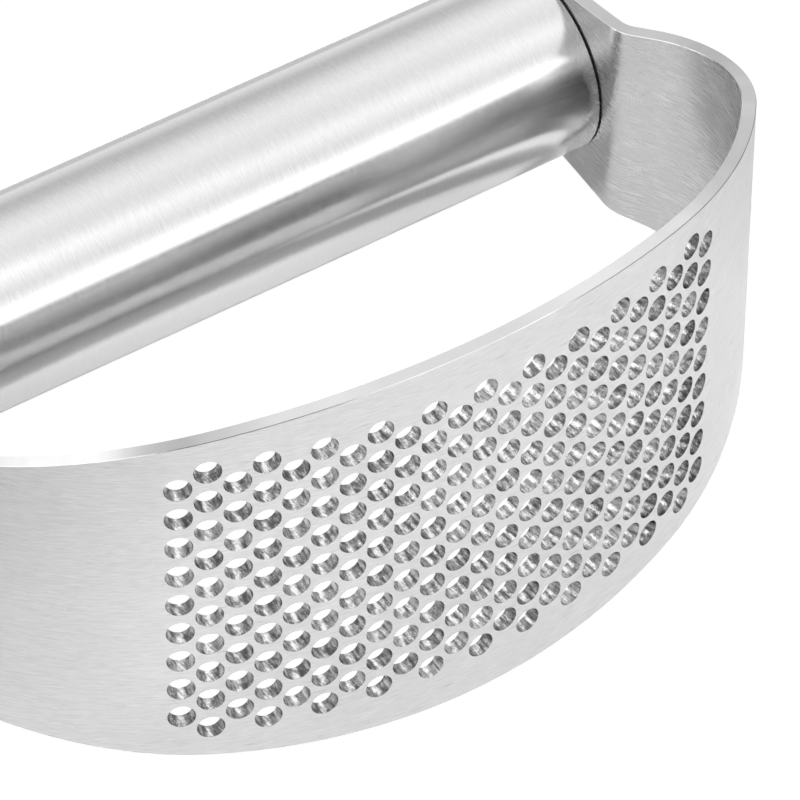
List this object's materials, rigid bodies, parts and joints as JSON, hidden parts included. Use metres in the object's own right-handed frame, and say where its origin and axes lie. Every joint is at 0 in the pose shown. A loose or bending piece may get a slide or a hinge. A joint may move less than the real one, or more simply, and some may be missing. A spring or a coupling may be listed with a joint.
{
  "type": "garlic press",
  "caption": "Rocker garlic press: a perforated steel strip bent into a D, closed by a round tube handle that a screw holds at each side tab.",
  "frame": {"origin": "under the middle of the press: the centre of its box in X and Y, level with the strip's lowest edge", "axes": "+X along the handle tube, -Y out of the rocking front, +Z across the strip's width, which points up while the press stands on one long edge"},
  "size_m": [0.1074, 0.0684, 0.0508],
  "materials": {
    "strip_steel": "fine satin, brushed along the strip",
    "tube_steel": "satin, brushed round the tube",
    "plug_steel": "as turned",
    "seal_rubber": "matt black silicone",
    "screw_steel": "bright, lightly turned",
    "washer_steel": "plain spring steel"
  },
  "bodies": {
    "root": {"rocker_plate": "strip_steel", "handle_tube": "tube_steel", "end_plug_left": "plug_steel", "end_plug_right": "plug_steel", "end_seal_left": "seal_rubber", "end_seal_right": "seal_rubber", "screw_left": "screw_steel", "screw_right": "screw_steel", "lock_washer_left": "washer_steel", "lock_washer_right": "washer_steel"}
  },
  "joints": []
}
